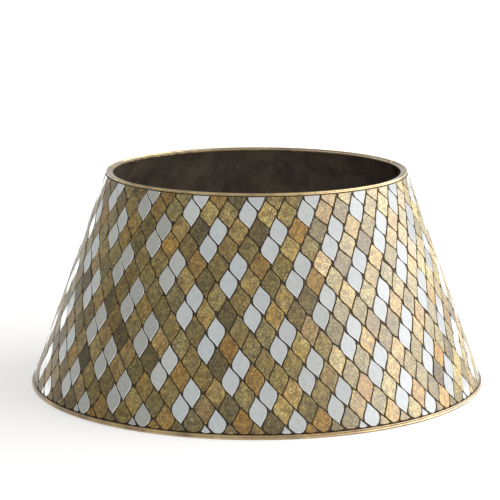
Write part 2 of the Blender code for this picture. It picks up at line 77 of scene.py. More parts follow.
HINGE_SEAM_ANGLE = LATCH_SEAM_ANGLE + COLUMNS["front"] * COLUMN_ANGLE
LATCH_SEAM_GAP = 0.0012
HINGE_SEAM_GAP = 0.0034
EDGE_THICKNESS = 0.0015
FIT_GAP = 0.0003
BASE_BEAD_HEIGHT = 0.0062
BASE_LEDGE_THICKNESS = 0.002
TOP_BEAD_HEIGHT = 0.0038
TOP_LEDGE_THICKNESS = 0.0016
MOSAIC_THICKNESS = 0.0042
WALL_THICKNESS = 0.0012
WALL_OUTER = MOSAIC_THICKNESS + FIT_GAP
WALL_INNER = WALL_OUTER + WALL_THICKNESS
LEG_INNER = WALL_INNER + FIT_GAP + EDGE_THICKNESS
SHELL_BOTTOM = BASE_BEAD_HEIGHT + FIT_GAP
SHELL_TOP = COLLAR_HEIGHT - TOP_BEAD_HEIGHT - FIT_GAP

# The two parts: the seam that each starts at, and half the gap at its first and its last seam
HALVES = {
    "front": (LATCH_SEAM_ANGLE, LATCH_SEAM_GAP / 2, HINGE_SEAM_GAP / 2),
    "back": (HINGE_SEAM_ANGLE, HINGE_SEAM_GAP / 2, LATCH_SEAM_GAP / 2),
}

# How far the wall and the mosaic stop short of the rims' ends, where the edge angles stand
WALL_SETBACK = EDGE_THICKNESS + FIT_GAP
MOSAIC_SETBACK = EDGE_THICKNESS + 2 * FIT_GAP

# Rolled rims: how far they keep inside the CAD's beads, the radius of each roll and of the finer fillet
# beside it, the turns in degrees that these span, and how far the fillets stand back
RIM_MARGIN = 0.0002
BASE_ROLL_RADIUS = 0.0019
BASE_ROLL_SPAN = (-90, 58)
BASE_FILLET_RADIUS = 0.0012
BASE_FILLET_SPAN = (-50, 90)
BASE_FILLET_SETBACK = 0.0004
TOP_ROLL_RADIUS = 0.0013
TOP_ROLL_SPAN = (-60, 180)
TOP_FILLET_RADIUS = 0.0006
TOP_FILLET_SPAN = (-90, 50)
TOP_FILLET_SETBACK = 0.0003
ROLL_STEPS = 7
SMOOTH_ANGLE = math.radians(35)
SWEEP_PER_COLUMN = 4

# Tile rows, as distances down the slant: the leaves nest deeper where the cone is wider
FIRST_ROW_SLANT = 0.0042
ROW_STEP = 0.02255
ROW_STEP_LOSS = 0.000163
ROWS = 16

# Columns of tiles, counted from the middle of the front or the back and a few more than fit on a part: they
# gain on the cone's own spread and drift to the right on the way down
TILE_COLUMNS = range(-18, 21)
FRONT_COLUMN = math.radians(0.02)
ROW_DRIFT = math.radians(0.236)
ROW_NARROWING = math.radians(0.0256)

# How a finish lies off the even pattern on even and odd rows, as a turn and a rise: it does so more and more
# from the top row down, and by this much from the row named here
TILE_SHIFT = {
    ("mirror", 0): (0.0, 0.0),
    ("tan", 0): (math.radians(-0.25), 0.0004),
    ("olive", 0): (math.radians(0.7), -0.0024),
    ("mirror", 1): (math.radians(0.35), -0.0022),
    ("tan", 1): (0.0, 0.0010),
    ("olive", 1): (math.radians(-0.4), 0.0),
}
FULL_SHIFT_ROW = 9

# One leaf: its size, how full its belly and how sharp its tips are, how far and from where these lean, and
# the grout that it leaves beside it where the cone is too narrow for its full width
TILE_WIDTH = 0.0209
TILE_HEIGHT = 0.0374
TILE_FULLNESS = 2.3
TILE_SHARPNESS = 1.95
TILE_TIP_LEAN = 0.0031
TILE_BELLY = 0.0070
TILE_GROUT = 0.0013
TILE_EDGE_STEPS = 12

# How much a finish is cut larger than its leaf where its neighbours leave room, in how many rounds, the line
# left between, how far off a neighbour can be, and how much of its half width a leaf can lose in a round
TILE_GROWTH = {"mirror": 0.0008, "tan": 0.0030, "olive": 0.0030}
GROWTH_ROUNDS = 6
GROUT_LINE = 0.0016
NEAR_ASIDE = 1.4 * TILE_HEIGHT
NEAR_ABOVE = 1.2 * TILE_HEIGHT
MOST_LOSS = 0.7

# Tiles that end at a rim: the room that they leave there, and at the base rim how high their corners are
# nibbled, at most and as a share of half the tile, and where round the corner
TRIM_MARGIN = 0.0004
FOOT_RISE = 0.0035
FOOT_RISE_SHARE = 0.45
FOOT_TURNS = [math.radians(turn) for turn in (-62, -40, -20, 20, 40, 62)]

# A tile's section: its bevel, with each ring's inset and depth as shares of it, the depths of its face, its
# back and the grout, and how far a tile tilts
TILE_BEVEL = 0.0004
TILE_BEVEL_RINGS = ((0.45, 0.35), (1.2, 0.0))
TILE_TOP_DEPTH = 0.00012
TILE_BACK_DEPTH = 0.0022
GROUT_FACE_DEPTH = 0.0009
TILE_TILT = math.radians(1.0)

# Limits: how near two points count as one and a point counts as on a line, when two lines count as parallel,
# how far a bevel's corner is drawn in, in bevels and as a share of the room inside, and a tile's least area
SAME_PLACE = 0.000002
ON_LINE = 0.000001
PARALLEL = 1e-12
LONGEST_MITRE = 2.2
MOST_INSET = 0.35
SMALLEST_TILE = 0.000004

# Glass colours: the levels and tint of the mirrors, and the spread and limits of the others' levels
WHITE = (1.0, 1.0, 1.0)
MIRROR_LEVELS = (0.87, 0.96)
MIRROR_TINT = (0.975, 1.0, 0.99)
LEVEL_SPREAD = 0.20
LEVEL_LIMITS = (0.60, 1.45)
KHAKI = (0.430, 0.357, 0.150)
ROSE = (0.436, 0.320, 0.160)
TAN = (0.390, 0.283, 0.086)
AMBER = (0.385, 0.215, 0.031)
SAGE = (0.405, 0.352, 0.160)
OLIVE = (0.292, 0.230, 0.070)
UMBER = (0.155, 0.116, 0.036)

# How each finish is blended from two colours: the share of its tiles up to which a blend holds, its colours,
# and the power that weights it
TONES = {
    "tan": ((0.50, KHAKI, TAN, 1.0), (0.76, ROSE, TAN, 1.0), (1.0, TAN, AMBER, 0.9)),
    "olive": ((0.45, SAGE, OLIVE, 1.0), (1.0, OLIVE, UMBER, 1.5)),
}
TONE_LAYER = "tone"

# Metals, each from its dark to its light, and the base rim's painted shade, a tint by the share of the rim's
# height: darker at its foot, in its groove and at its top under the tiles, where their shadow falls, and at
# the foot partly patina too
GOLD = ((0.27, 0.158, 0.050), (0.67, 0.485, 0.195))
IRON = ((0.055, 0.042, 0.032), (0.115, 0.088, 0.062))
BRASS = ((0.38, 0.26, 0.11), (0.62, 0.45, 0.20))
STEEL = ((0.42, 0.41, 0.39), (0.66, 0.64, 0.61))
BASE_PAINTED_SHADE = (
    (0.0, (0.25, 0.17, 0.11)),
    (0.20, (0.92, 0.86, 0.78)),
    (0.52, WHITE),
    (0.66, (0.50, 0.40, 0.30)),
    (0.76, WHITE),
    (1.0, (0.45, 0.35, 0.26)),
)

# The CAD's own solids that show, by a word in their names
IRONWORK = {"angle": "iron", "rivet": "steel", "hinge": "brass", "stud": "brass", "hook": "brass"}

# The camera that the outlines of both rims fit, in pixels of the photograph
PHOTO_SIZE = 500
FOCAL_PIXELS = 2092.2
AXIS_COLUMN = 256.79
SENSOR_WIDTH = 36.0
CAMERA_PLACE = (0, -2.7650, 0.7181)
CAMERA_PITCH = 0.1932
CAMERA_REACH = (0.05, 60)

# A pale room that is brighter towards one side. Each table starts on the far side: the room's level, its tint
# on dull surfaces and its tint in reflections, by the share of the way across
ROOM_BRIGHT_SIDE = (0.9945, 0.1045, 0)
ROOM_LEVELS = (
    (0.060, 0.37),
    (0.075, 0.42),
    (0.105, 0.49),
    (0.152, 0.52),
    (0.242, 0.52),
    (0.364, 0.565),
    (0.606, 0.59),
    (0.733, 0.65),
    (0.837, 0.755),
    (0.913, 0.905),
    (0.95, 1.02),
    (1.0, 1.08),
)
ROOM_PEAK = 1.08
ROOM_TINT = ((0.15, (0.965, 0.925, 0.79)), (0.6, WHITE))
ROOM_SHEEN = (
    (0.06, (1.0, 0.985, 0.90)),
    (0.10, (1.0, 0.99, 0.95)),
    (0.16, (0.975, 1.0, 1.0)),
    (0.25, (0.965, 1.0, 1.01)),
    (0.45, (0.99, 1.0, 0.995)),
    (0.72, (1.0, 1.0, 0.965)),
    (0.90, WHITE),
)

# The share of the room that lights dull surfaces
AMBIENT = 0.94

# The floor: its size and shade, and how far it is lifted to white near the collar and farther out
FLOOR_REACH = 12.0
FLOOR_SHADE = 0.62
FLOOR_ROUGHNESS = 0.9
FLOOR_LIFT = (0.50, 0.74)
FLOOR_LIFT_REACH = (0.50, 1.30)

# A wide softbox on the right
WINDOW_PLACE = (3.2, 0.05, 1.6)
WINDOW_TARGET = (0, 0, 0.15)
WINDOW_SIZE = (6.8, 2.4)
WINDOW_POWER = 198
WINDOW_COLOUR = (1.0, 0.99, 0.975)


def outward(angle):
    return Vector((math.sin(angle), -math.cos(angle), 0))


def around(angle):
    return Vector((math.cos(angle), math.sin(angle), 0))


def face_radius(height, depth=0.0):
    """The radius of the tiles' face at a height, or of a layer at a depth inside it."""
    return FACE_BASE_RADIUS - height * math.tan(LEAN) - depth / math.cos(LEAN)


def row_slant(row):
    return FIRST_ROW_SLANT + ROW_STEP * row - ROW_STEP_LOSS * row * row


def link(name, mesh, look):
    thing = bpy.data.objects.new(name, mesh)
    bpy.context.scene.collection.objects.link(thing)
    mesh.materials.append(look)
    return thing


def mesh_of(name, shape):
    bmesh.ops.recalc_face_normals(shape, faces=shape.faces)
    mesh = bpy.data.meshes.new(name)
    shape.to_mesh(mesh)
    shape.free()
    return mesh


def skin(shape, rings):
    """Faces over the first and the last ring, and between each ring and the next."""
    faces = [shape.faces.new(rings[0][::-1]), shape.faces.new(rings[-1])]
    for one, two in zip(rings, rings[1:]):
        for i in range(len(one)):
            j = (i + 1) % len(one)
            faces.append(shape.faces.new((one[i], one[j], two[j], two[i])))
    return faces


# Materials


def new_material(name):
    made = bpy.data.materials.new(name)
    made.use_nodes = True
    return made, made.node_tree, made.node_tree.nodes["Principled BSDF"]


def add(tree, kind, **values):
    node = tree.nodes.new(kind)
    for key, value in values.items():
        setattr(node, key, value)
    return node


def feed(tree, socket, value):
    """Link a socket to an output, or set it to a number or a colour."""
    if isinstance(value, (int, float)):
        socket.default_value = value
    elif isinstance(value, tuple):
        socket.default_value = (*value, 1)
    else:
        tree.links.new(value, socket)


def feed_all(tree, node, values):
    for name, value in values.items():
        feed(tree, node.inputs[name], value)


def noise(tree, place, scale, detail, roughness=0.55, distortion=0.0, output="Fac"):
    node = add(tree, "ShaderNodeTexNoise")
    feed_all(tree, node, {"Vector": place, "Scale": scale, "Detail": detail})
    feed_all(tree, node, {"Roughness": roughness, "Distortion": distortion})
    return node.outputs[output]


def ramp(tree, value, stops):
    node = add(tree, "ShaderNodeValToRGB")
    elements = node.color_ramp.elements
    while len(elements) < len(stops):
        elements.new(0.5)
    for element, (position, colour) in zip(elements, stops):
        element.position = position
        element.color = (*colour, 1)
    feed(tree, node.inputs["Fac"], value)
    return node.outputs["Color"]


def mix(tree, share, one, two, kind="MIX"):
    node = add(tree, "ShaderNodeMix", data_type="RGBA", blend_type=kind)
    for index, value in ((0, share), (6, one), (7, two)):
        feed(tree, node.inputs[index], value)
    return node.outputs[2]


def tinted(tree, one, two):
    """Two colours multiplied."""
    return mix(tree, 1.0, one, two, "MULTIPLY")


def maths(tree, operation, one, two):
    node = add(tree, "ShaderNodeMath", operation=operation)
    feed(tree, node.inputs[0], one)
    feed(tree, node.inputs[1], two)
    return node.outputs[0]


def map_range(tree, value, span, to_span):
    """A value carried over from one span of numbers to another."""
    node = add(tree, "ShaderNodeMapRange")
    names = ("Value", "From Min", "From Max", "To Min", "To Max")
    feed_all(tree, node, dict(zip(names, (value, *span, *to_span))))
    return node.outputs["Result"]


def bump(tree, shader, height, strength, distance):
    node = add(tree, "ShaderNodeBump")
    feed_all(tree, node, {"Height": height, "Strength": strength, "Distance": distance})
    feed(tree, shader.inputs["Normal"], node.outputs["Normal"])


def coordinates(tree):
    return add(tree, "ShaderNodeTexCoord").outputs["Object"]


def own_tone(tree):
    """The colour stored on each tile."""
    return add(tree, "ShaderNodeAttribute", attribute_name=TONE_LAYER).outputs["Color"]


def warped(tree, place, scale, reach):
    """The coordinates pushed about by a noise, so that a pattern on them is irregular."""
    push = add(tree, "ShaderNodeVectorMath", operation="SCALE")
    feed(tree, push.inputs[0], noise(tree, place, scale, detail=2, roughness=0.5, output="Color"))
    feed(tree, push.inputs["Scale"], reach)
    moved = add(tree, "ShaderNodeVectorMath", operation="ADD")
    feed(tree, moved.inputs[0], place)
    feed(tree, moved.inputs[1], push.outputs[0])
    return moved.outputs[0]


def crackle(tree, place, scale, width):
    """Fine veins between irregular cells: 1 on a vein and 0 off it."""
    cells = add(tree, "ShaderNodeTexVoronoi", feature="DISTANCE_TO_EDGE")
    feed_all(tree, cells, {"Vector": place, "Scale": scale})
    return map_range(tree, cells.outputs["Distance"], (0.0, width), (1.0, 0.0))


def mirror_glass():
    """Silvered glass with faint wear in the silver and slightly wavy reflections."""
    made, tree, shader = new_material("mirror_glass")
    place = coordinates(tree)
    wear = noise(tree, place, scale=150, detail=4, roughness=0.65)
    silver = ramp(tree, wear, [(0.36, (0.90, 0.91, 0.92)), (0.6, WHITE)])
    haze = noise(tree, place, scale=140, detail=3)
    feed_all(tree, shader, {
        "Base Color": tinted(tree, own_tone(tree), silver),
        "Metallic": 1.0,
        "Roughness": map_range(tree, haze, (0.3, 0.75), (0.05, 0.13)),
    })
    bump(tree, shader, noise(tree, place, scale=45, detail=1), strength=0.05, distance=0.002)
    return made


def foil_glass(name, vein_share, mottle):
    """Tinted glass over crinkled foil: patches, speckles, stains and fine veins under a smooth glaze."""
    made, tree, shader = new_material(name)
    place = coordinates(tree)
    tone = own_tone(tree)
    bent = warped(tree, place, scale=130, reach=0.008)
    where = map_range(tree, noise(tree, place, scale=80, detail=2), (0.40, 0.58), (0.30, 1.0))
    veins = crackle(tree, bent, scale=190, width=0.13)
    veins = maths(tree, "MULTIPLY", veins, maths(tree, "MULTIPLY", where, vein_share))
    low, high = 1 - mottle, 1 + mottle
    dark, light = (low * 0.90, low * 0.84, low * 0.70), (high, high, high * 0.95)
    patch_stops = [(0.38, dark), (0.51, WHITE), (0.64, light)]
    speckle_stops = [(0.38, (0.47, 0.42, 0.34)), (0.50, WHITE), (0.62, (1.40, 1.36, 1.25))]
    stain_stops = [(0.40, WHITE), (0.64, (1.06, 0.93, 0.68))]
    patches = ramp(tree, noise(tree, bent, scale=150, detail=5, roughness=0.7), patch_stops)
    speckles = ramp(tree, noise(tree, bent, scale=420, detail=4, roughness=0.75), speckle_stops)
    stains = ramp(tree, noise(tree, bent, scale=55, detail=3, roughness=0.6), stain_stops)
    body = tinted(tree, tinted(tree, tinted(tree, patches, speckles), stains), tone)
    in_vein = tinted(tree, tone, (0.27, 0.20, 0.13))
    feed_all(tree, shader, {
        "Base Color": mix(tree, veins, body, in_vein),
        "Metallic": 0.12,
        "Specular IOR Level": 0.0,
        "Roughness": map_range(tree, noise(tree, place, scale=300, detail=3), (0.3, 0.7), (0.38, 0.55)),
        "Coat Weight": 1.0,
        "Coat Roughness": 0.31,
        "Coat IOR": 1.75,
    })
    height = maths(tree, "SUBTRACT", noise(tree, bent, scale=260, detail=4), veins)
    bump(tree, shader, height, strength=0.20, distance=0.0006)
    return made


def grout_material():
    made, tree, shader = new_material("dark_grout")
    place = coordinates(tree)
    cloud = noise(tree, place, scale=40, detail=5, roughness=0.6)
    colour = ramp(tree, cloud, [(0.3, (0.042, 0.028, 0.014)), (0.7, (0.084, 0.060, 0.032))])
    grains = noise(tree, place, scale=1400, detail=2)
    grains = ramp(tree, grains, [(0.3, (0.75, 0.75, 0.75)), (0.7, (1.15, 1.15, 1.15))])
    feed_all(tree, shader, {"Base Color": tinted(tree, colour, grains), "Roughness": 0.85})
    bump(tree, shader, noise(tree, place, scale=900, detail=3), strength=0.5, distance=0.0004)
    return made


def metal(name, tones, roughness, grain, unevenness=0.12, metallic=1.0, lacquer=0.0, painted_shade=()):
    """Worn plated metal: cloudy tone, scuffed roughness and a slightly uneven face."""
    made, tree, shader = new_material(name)
    place = coordinates(tree)
    cloud = noise(tree, place, grain, detail=5, roughness=0.6, distortion=0.4)
    colour = ramp(tree, cloud, list(zip((0.34, 0.66), tones)))
    fine = noise(tree, place, grain * 9, detail=3)
    fine = ramp(tree, fine, [(0.3, (0.86, 0.86, 0.86)), (0.7, (1.06, 1.06, 1.06))])
    colour = tinted(tree, colour, fine)
    # Painted shade on the base rim: darker at the foot, in the groove between roll and fillet and under the
    # tiles, standing for the shadow there; at the foot partly patina too
    if painted_shade:
        parts = add(tree, "ShaderNodeSeparateXYZ")
        feed(tree, parts.inputs[0], place)
        share = map_range(tree, parts.outputs["Z"], (0, BASE_BEAD_HEIGHT), (0, 1))
        colour = tinted(tree, colour, ramp(tree, share, painted_shade))
    feed_all(tree, shader, {
        "Base Color": colour,
        "Metallic": metallic,
        "Roughness": map_range(tree, noise(tree, place, grain * 4, detail=3), (0.3, 0.7), roughness),
        "Coat Weight": lacquer,
        "Coat Roughness": 0.2,
        "Coat IOR": 1.9,
    })
    bump(tree, shader, noise(tree, place, grain * 3, detail=3), unevenness, distance=0.0006)
    return made


# Outlines of tiles, in the plane of the cone's face


def leaf_outline(width, height):
    """A leaf about its middle, anticlockwise from its top tip, with ogee edges and tips that lean apart."""
    left, right = [], []
    for i in range(TILE_EDGE_STEPS + 1):
        share = i / TILE_EDGE_STEPS
        y = height / 2 * (math.cos(math.pi * share) + 1 - 2 * share) / 2
        half = width / 2 * max(1 - abs(2 * y / height) ** TILE_FULLNESS, 0) ** TILE_SHARPNESS
        past_belly = max(abs(y) - TILE_BELLY, 0) / (height / 2 - TILE_BELLY)
        middle = -math.copysign(TILE_TIP_LEAN * past_belly, y)
        left.append(Vector((middle - half, y)))
        right.append(Vector((middle + half, y)))
    return left + right[-2:0:-1]


def area(points):
    return sum(a.x * b.y - b.x * a.y for a, b in zip(points, points[1:] + points[:1])) / 2


def distinct(points):
    return [point for i, point in enumerate(points) if (point - points[i - 1]).length > SAME_PLACE]


def untangled(points):
    """The outline with each small loop, where it crosses itself, drawn together to one point.

    No corner is taken away, so that a tile's rings still pair up.
    """
    points = list(points)
    count = len(points)
    for i in range(count - 2):
        for j in range(i + 2, count - (i == 0)):
            met = intersect_line_line_2d(points[i], points[i + 1], points[j], points[(j + 1) % count])
            if not met:
                continue
            inner = range(i + 1, j + 1)
            outer = [k % count for k in range(j + 1, count + i + 1)]
            inner_area = abs(area([met] + [points[k] for k in inner]))
            outer_area = abs(area([met] + [points[k] for k in outer]))
            for k in inner if inner_area < outer_area else outer:
                points[k] = met
    return points


def clip(points, origin, normal):
    """The part of a convex or nearly convex outline on the side that the normal points away from."""
    kept = []
    for i, point in enumerate(points):
        after = points[(i + 1) % len(points)]
        here = (point - origin).dot(normal)
        there = (after - origin).dot(normal)
        if here <= 0:
            kept.append(point)
        if (here < 0 < there) or (there < 0 < here):
            kept.append(point.lerp(after, here / (here - there)))
    return kept


def room_inside(points, index, direction):
    """How far it is from a corner of the outline, in a direction, to the outline's other side."""
    start = points[index]
    found = TILE_HEIGHT
    for i, one in enumerate(points):
        j = (i + 1) % len(points)
        if index in (i, j):
            continue
        side = points[j] - one
        across = direction.x * side.y - direction.y * side.x
        if abs(across) < PARALLEL:
            continue
        to_side = one - start
        along = (to_side.x * side.y - to_side.y * side.x) / across
        share = (to_side.x * direction.y - to_side.y * direction.x) / across
        if 0 <= share <= 1 and 0 < along < found:
            found = along
    return found


def inset(points, distance):
    """The outline drawn in by a distance, for the bevel of a tile's face, but never past its own middle."""
    moved = []
    for i, point in enumerate(points):
        before = (point - points[i - 1]).normalized()
        after = (points[(i + 1) % len(points)] - point).normalized()
        inward = Vector((-before.y - after.y, before.x + after.x))
        length = max(inward.length, 2 / LONGEST_MITRE)
        inward = inward.normalized()
        reach = min(distance * 2 / length, room_inside(points, i, inward) * MOST_INSET)
        moved.append(point + inward * reach)
    return untangled(moved)


# The pattern of tiles


def tile_finish(row, column):
    """Mirror, tan and olive repeat along each row, and the next pair of rows is set one column over."""
    return ("mirror", "tan", "olive")[(column - row // 2 + row % 2) % 3]


def tile_place(row, column):
    """A tile's finish, its angle from the middle column, and its height."""
    finish = tile_finish(row, column)
    turn, rise = TILE_SHIFT[finish, row % 2]
    pitch = COLUMN_ANGLE - ROW_NARROWING * (row - 1)
    share = max(min(row / FULL_SHIFT_ROW, 1.0), 0.0)
    angle = FRONT_COLUMN + ROW_DRIFT * row + pitch * (column + row % 2 / 2) + turn * share
    height = COLLAR_HEIGHT - row_slant(row) * math.cos(LEAN) + rise * share
    return finish, angle, height


def neighbours(row, column):
    """The tiles that could touch this one."""
    place = tile_place(row, column)
    found = []
    for near in itertools.product(range(row - 2, row + 3), range(column - 1, column + 2)):
        near_place = tile_place(*near)
        aside = (near_place[1] - place[1]) * face_radius(place[2])
        above = (near_place[2] - place[2]) / math.cos(LEAN)
        if near != (row, column) and abs(aside) < NEAR_ASIDE and abs(above) < NEAR_ABOVE:
            found.append(near)
    return found


def beside(points, place, near_place):
    """A neighbour's outline as it lies in this tile's own plane, with the cone unrolled round it."""
    turn = (near_place[1] - place[1]) * math.sin(LEAN)
    reach = face_radius(place[2]) / math.sin(LEAN)
    near_reach = face_radius(near_place[2]) / math.sin(LEAN)
    turned = np.array(((math.cos(turn), math.sin(turn)), (-math.sin(turn), math.cos(turn))))
    aside = np.array((near_reach * math.sin(turn), reach - near_reach * math.cos(turn)))
    return points @ turned + aside


def distances(points, outlines):
    """How far each point is from each of some outlines."""
    sides = np.roll(outlines, -1, axis=1) - outlines
    away = points[:, None, None, :] - outlines[None]
    share = (away * sides).sum(axis=3) / (sides * sides).sum(axis=2)
    nearest = away - np.clip(share, 0, 1)[..., None] * sides
    return np.sqrt((nearest * nearest).sum(axis=3)).min(axis=2)


@lru_cache(maxsize=None)
def cut_leaf(row, column, rounds):
    """The tile's outline, and how far it has grown, after some rounds of growing towards its neighbours."""
    place = tile_place(row, column)
    if rounds == 0:
        width = min(TILE_WIDTH, face_radius(place[2]) * COLUMN_ANGLE - TILE_GROUT)
        points = np.array([tuple(point) for point in leaf_outline(width, TILE_HEIGHT)])
        return points, np.zeros(len(points))
    points, grown = cut_leaf(row, column, rounds - 1)
    near = neighbours(row, column)
    near_places = [tile_place(*one) for one in near]
    outlines = np.array(
        [beside(cut_leaf(*one, rounds - 1)[0], place, other) for one, other in zip(near, near_places)]
    )
    most = TILE_GROWTH[place[0]]
    shares = np.array([most / (most + TILE_GROWTH[other[0]]) for other in near_places])
    growth = ((distances(points, outlines) - GROUT_LINE) * shares).min(axis=1)
    growth = np.minimum(growth, most - grown)
    growth = (np.roll(growth, 1) + 2 * growth + np.roll(growth, -1)) / 4
    opposite = np.roll(points[::-1], 1, axis=0)
    half_width = np.sqrt(((points - opposite) ** 2).sum(axis=1)) / 2
    growth = np.maximum(growth, -MOST_LOSS * half_width)
    along = np.roll(points, -1, axis=0) - np.roll(points, 1, axis=0)
    along /= np.sqrt((along * along).sum(axis=1))[:, None]
    moved = points + np.stack((along[:, 1], -along[:, 0]), axis=1) * growth[:, None]
    return moved, grown + growth


def rounded_foot(points, floor):
    """The outline cut off level at its foot, with the cut's corners nibbled round."""
    points = clip(points, Vector((0, floor)), Vector((0, -1)))
    chord = [point.x for point in points if abs(point.y - floor) < ON_LINE]
    if len(chord) < 2:
        return points
    middle = (min(chord) + max(chord)) / 2
    reach = (max(chord) - min(chord)) / 2
    rise = min(FOOT_RISE, reach * FOOT_RISE_SHARE)
    for turn in FOOT_TURNS:
        touch = Vector((middle + reach * math.sin(turn), floor + rise * (1 - math.cos(turn))))
        normal = Vector((rise * math.sin(turn), -reach * math.cos(turn)))
        points = clip(points, touch, normal)
    return points


def clipped_leaf(points, height, from_start, from_end):
    """The leaf cut by the rims and by the edge angles along the seams."""
    slant = 1 / math.cos(LEAN)
    points = clip(points, Vector((0, (SHELL_TOP - TRIM_MARGIN - height) * slant)), Vector((0, 1)))
    points = rounded_foot(points, (SHELL_BOTTOM + TRIM_MARGIN - height) * slant)
    points = clip(points, Vector((-from_start, 0)), Vector((-1, 0)))
    return clip(points, Vector((from_end, 0)), Vector((1, 0)))


# Tiles


def frame_at(angle, height):
    """A frame on the cone's face: X round it, Y up the slant, Z outwards."""
    x = around(angle)
    z = outward(angle) * math.cos(LEAN) + Vector((0, 0, math.sin(LEAN)))
    made = Matrix((x, z.cross(x), z)).transposed().to_4x4()
    made.translation = outward(angle) * face_radius(height) + Vector((0, 0, height))
    return made


def add_tile(shape, layer, points, place, tone):
    """One closed piece of glass: back, sides, bevel and face."""
    sections = [(points, TILE_BACK_DEPTH), (points, TILE_TOP_DEPTH + TILE_BEVEL)]
    for inset_share, depth_share in TILE_BEVEL_RINGS:
        ring = inset(points, TILE_BEVEL * inset_share)
        sections.append((ring, TILE_TOP_DEPTH + TILE_BEVEL * depth_share))
    rings = []
    for ring, depth in sections:
        rings.append([shape.verts.new(place @ Vector((p.x, p.y, -depth))) for p in ring])
    for face in skin(shape, rings):
        for loop in face.loops:
            loop[layer] = (*tone, 1)


def blend(one, two, share):
    return tuple(a + (b - a) * share for a, b in zip(one, two))


def tile_tone(finish, chance):
    """The tile's own colour, picked from the range that its finish shows."""
    if finish == "mirror":
        level = chance.uniform(*MIRROR_LEVELS)
        return tuple(level * part for part in MIRROR_TINT)
    least, most = LEVEL_LIMITS
    level = min(max(chance.gauss(1.0, LEVEL_SPREAD), least), most)
    pick = chance.random()
    one, two, power = next(tones for share, *tones in TONES[finish] if pick < share)
    return tuple(level * part for part in blend(one, two, chance.random() ** power))


def tiles(half, looks):
    """All the glass of one part, one object for each finish."""
    start, start_gap, end_gap = HALVES[half]
    end = start + COLUMNS[half] * COLUMN_ANGLE
    middle = 0 if half == "front" else math.pi
    chance = random.Random(half)
    shapes = {finish: bmesh.new() for finish in looks}
    layers = {finish: shape.loops.layers.float_color.new(TONE_LAYER) for finish, shape in shapes.items()}
    for row, column in itertools.product(range(ROWS), TILE_COLUMNS):
        finish, from_middle, height = tile_place(row, column)
        angle = from_middle + middle
        radius = face_radius(height)
        to_start = (angle - start) * radius - start_gap - MOSAIC_SETBACK
        to_end = (end - angle) * radius - end_gap - MOSAIC_SETBACK
        if min(to_start, to_end) < -TILE_WIDTH:
            continue
        leaf = [Vector(point) for point in cut_leaf(row, column, GROWTH_ROUNDS)[0]]
        outline = clipped_leaf(distinct(untangled(leaf)), height, to_start, to_end)
        outline = distinct(untangled(outline))
        tilt_x = chance.gauss(0, TILE_TILT)
        tilt_y = chance.gauss(0, TILE_TILT)
        tone = tile_tone(finish, chance)
        if len(outline) < 3 or abs(area(outline)) < SMALLEST_TILE:
            continue
        place = frame_at(angle, height) @ Matrix.Rotation(tilt_x, 4, "X") @ Matrix.Rotation(tilt_y, 4, "Y")
        add_tile(shapes[finish], layers[finish], outline, place, tone)
    for finish, shape in shapes.items():
        bmesh.ops.remove_doubles(shape, verts=shape.verts, dist=SAME_PLACE)
        name = half + "_" + finish + "_tiles"
        thing = link(name, mesh_of(name, shape), looks[finish])
        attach(thing, half + "_half")
        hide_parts(half + "_mosaic")


# Grout, walls and rims


def stations(half, inset_by):
    """Angles of a swept piece's sections, with the shift of its two ends in from the seams."""
    start, start_gap, end_gap = HALVES[half]
    steps = COLUMNS[half] * SWEEP_PER_COLUMN
    found = []
    for i in range(steps + 1):
        angle = start + COLUMN_ANGLE * i / SWEEP_PER_COLUMN
        shift = Vector()
        if i == 0:
            shift = around(angle) * (start_gap + inset_by)
        if i == steps:
            shift = around(angle) * -(end_gap + inset_by)
        found.append((angle, shift))
    return found


def swept(name, half, profile, look, inset_by, node):
    """A closed solid with a (radius, height) profile swept round one part."""
    shape = bmesh.new()
    rings = []
    for angle, shift in stations(half, inset_by):
        rings.append(
            [shape.verts.new(outward(angle) * r + Vector((0, 0, z)) + shift) for r, z in profile]
        )
    skin(shape, rings)
    thing = link(name, mesh_of(name, shape), look)
    thing.data.shade_smooth()
    thing.data.set_sharp_from_angle(angle=SMOOTH_ANGLE)
    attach(thing, half + "_half")
    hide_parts(node)


def sheet_profile(outer, inner):
    """A layer of the cone between the rims, from one depth to another."""
    corners = ((SHELL_BOTTOM, outer), (SHELL_BOTTOM, inner), (SHELL_TOP, inner), (SHELL_TOP, outer))
    return [(face_radius(height, depth), height) for height, depth in corners]


def grout(half, look):
    profile = sheet_profile(GROUT_FACE_DEPTH, MOSAIC_THICKNESS)
    swept(half + "_grout", half, profile, look, MOSAIC_SETBACK, half + "_mosaic")


def wall(half, look):
    profile = sheet_profile(WALL_OUTER, WALL_INNER)
    swept(half + "_sheet", half, profile, look, WALL_SETBACK, half + "_wall")


def roll(radius, across, up, span):
    """Points on the outer side of a roll, between two angles in degrees, upwards."""
    low, high = span
    turns = [math.radians(low + (high - low) * i / ROLL_STEPS) for i in range(ROLL_STEPS + 1)]
    return [(across + radius * math.cos(a), up + radius * math.sin(a)) for a in turns]


def base_rim(half, look):
    """A full roll that stands on the floor, a groove, a thin fillet by the tiles, and the ledge inside."""
    outer = BASE_RADIUS - RIM_MARGIN
    inner = face_radius(BASE_BEAD_HEIGHT, LEG_INNER)
    ledge = BASE_BEAD_HEIGHT - BASE_LEDGE_THICKNESS
    back = outer - BASE_BEAD_HEIGHT
    fillet = outer - BASE_FILLET_RADIUS - BASE_FILLET_SETBACK
    fillet_height = BASE_BEAD_HEIGHT - BASE_FILLET_RADIUS
    profile = [(inner, BASE_BEAD_HEIGHT), (inner, ledge), (back, ledge), (back, BASE_ROLL_RADIUS)]
    profile += [(back + BASE_ROLL_RADIUS, 0)]
    profile += roll(BASE_ROLL_RADIUS, outer - BASE_ROLL_RADIUS, BASE_ROLL_RADIUS, BASE_ROLL_SPAN)
    profile += roll(BASE_FILLET_RADIUS, fillet, fillet_height, BASE_FILLET_SPAN)
    swept(half + "_base_roll", half, profile, look, 0, half + "_base_rim")


